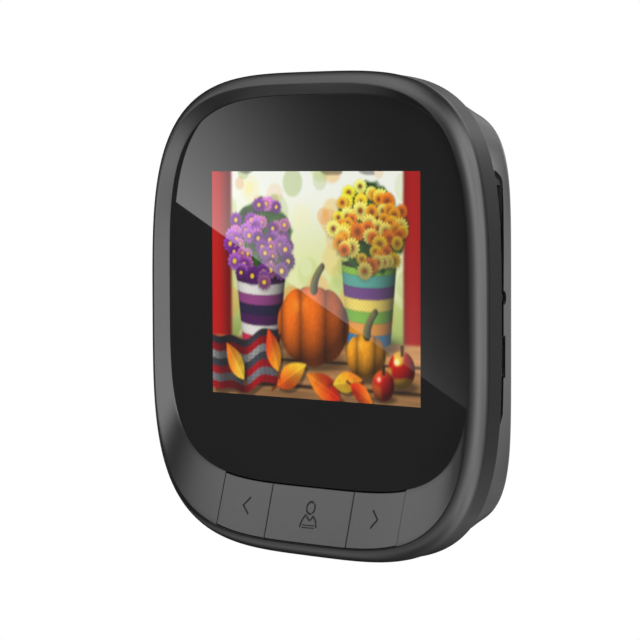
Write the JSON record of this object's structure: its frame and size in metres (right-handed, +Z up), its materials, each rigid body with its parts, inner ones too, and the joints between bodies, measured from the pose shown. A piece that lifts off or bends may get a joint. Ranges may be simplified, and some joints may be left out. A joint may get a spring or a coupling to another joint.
{
  "type": "peephole door camera",
  "caption": "Square round-cornered indoor door viewer: glass-fronted screen, flush keys in a sloping chin, side ports and a rear camera, hung on a steel hook bracket over the peephole.",
  "frame": {"origin": "centre of the bracket's peephole hole, on the door's face", "axes": "+Y into the door along the peephole, the screen faces -Y, +X to the right seen from the room, +Z up"},
  "size_m": [0.0918, 0.0184, 0.0918],
  "materials": {
    "shell_plastic": "satin dark grey, fine moulded texture",
    "key_plastic": "satin dark grey",
    "cover_glass": "polished black back-printed cover glass",
    "foam_tape": "matt foam tape",
    "screen_picture": "lit screen picture",
    "lcd_cell": "glass cell with dark film",
    "white_plastic": "natural white moulding",
    "sheet_steel": "stamped plated sheet",
    "flex_film": "amber polyimide film",
    "circuit_board": "green solder mask",
    "black_plastic": "moulded black",
    "ferrite": "dark grey matt",
    "lens_glass": "polished, faint blue coating",
    "pouch_foil": "satin laminated foil",
    "lead_sleeve": "soft vinyl sleeve",
    "speaker_film": "thin formed film",
    "soft_rubber": "soft black rubber",
    "screw_steel": "dark zinc",
    "bracket_steel": "brushed stainless sheet"
  },
  "bodies": {
    "bracket": {"door_bracket": "bracket_steel"},
    "monitor": {"front_frame": "shell_plastic", "rear_housing": "shell_plastic", "screen_glass": "cover_glass", "glass_adhesive": "foam_tape", "lcd_polariser": "screen_picture", "lcd_panel": "lcd_cell", "backlight_unit": "white_plastic", "lcd_tray": "sheet_steel", "lcd_flex": "flex_film", "lcd_connector": "white_plastic", "main_pcb": "circuit_board", "processor_chip": "black_plastic", "memory_chip": "black_plastic", "power_inductor": "ferrite", "tact_switches": "black_plastic", "tf_card_socket": "sheet_steel", "micro_usb_port": "sheet_steel", "usb_tongue": "black_plastic", "reset_switch": "black_plastic", "battery": "pouch_foil", "battery_tape": "foam_tape", "battery_leads": "lead_sleeve", "battery_connector": "white_plastic", "speaker_basket": "ferrite", "speaker_cone": "speaker_film", "speaker_gasket": "soft_rubber", "speaker_leads": "lead_sleeve", "microphone": "pouch_foil", "mic_boot": "soft_rubber", "camera_board": "circuit_board", "sensor_chip": "lcd_cell", "camera_holder": "black_plastic", "lens_barrel": "black_plastic", "camera_lens": "lens_glass", "camera_window": "lens_glass", "window_tape": "foam_tape", "pcb_screws": "screw_steel", "housing_screws": "screw_steel"},
    "left_key": {"key_left": "key_plastic", "plunger_left": "white_plastic"},
    "center_key": {"key_center": "key_plastic", "plunger_center": "white_plastic"},
    "right_key": {"key_right": "key_plastic", "plunger_right": "white_plastic"},
    "reset_button": {"reset_plunger": "key_plastic"}
  },
  "joints": [
    {"name": "lift_off", "type": "slide", "parent": "bracket", "child": "monitor", "axis": [0, 0, 1], "range_m": [0, 0.0042]},
    {"name": "left_key_press", "type": "slide", "parent": "monitor", "child": "left_key", "axis": [0, 1, 0], "range_m": [0, 0.0004], "stiffness_N_per_m": 3000},
    {"name": "center_key_press", "type": "slide", "parent": "monitor", "child": "center_key", "axis": [0, 1, 0], "range_m": [0, 0.0004], "stiffness_N_per_m": 3000},
    {"name": "right_key_press", "type": "slide", "parent": "monitor", "child": "right_key", "axis": [0, 1, 0], "range_m": [0, 0.0004], "stiffness_N_per_m": 3000},
    {"name": "reset_press", "type": "slide", "parent": "monitor", "child": "reset_button", "axis": [-1, 0, 0], "range_m": [0, 0.0003], "stiffness_N_per_m": 3000}
  ]
}
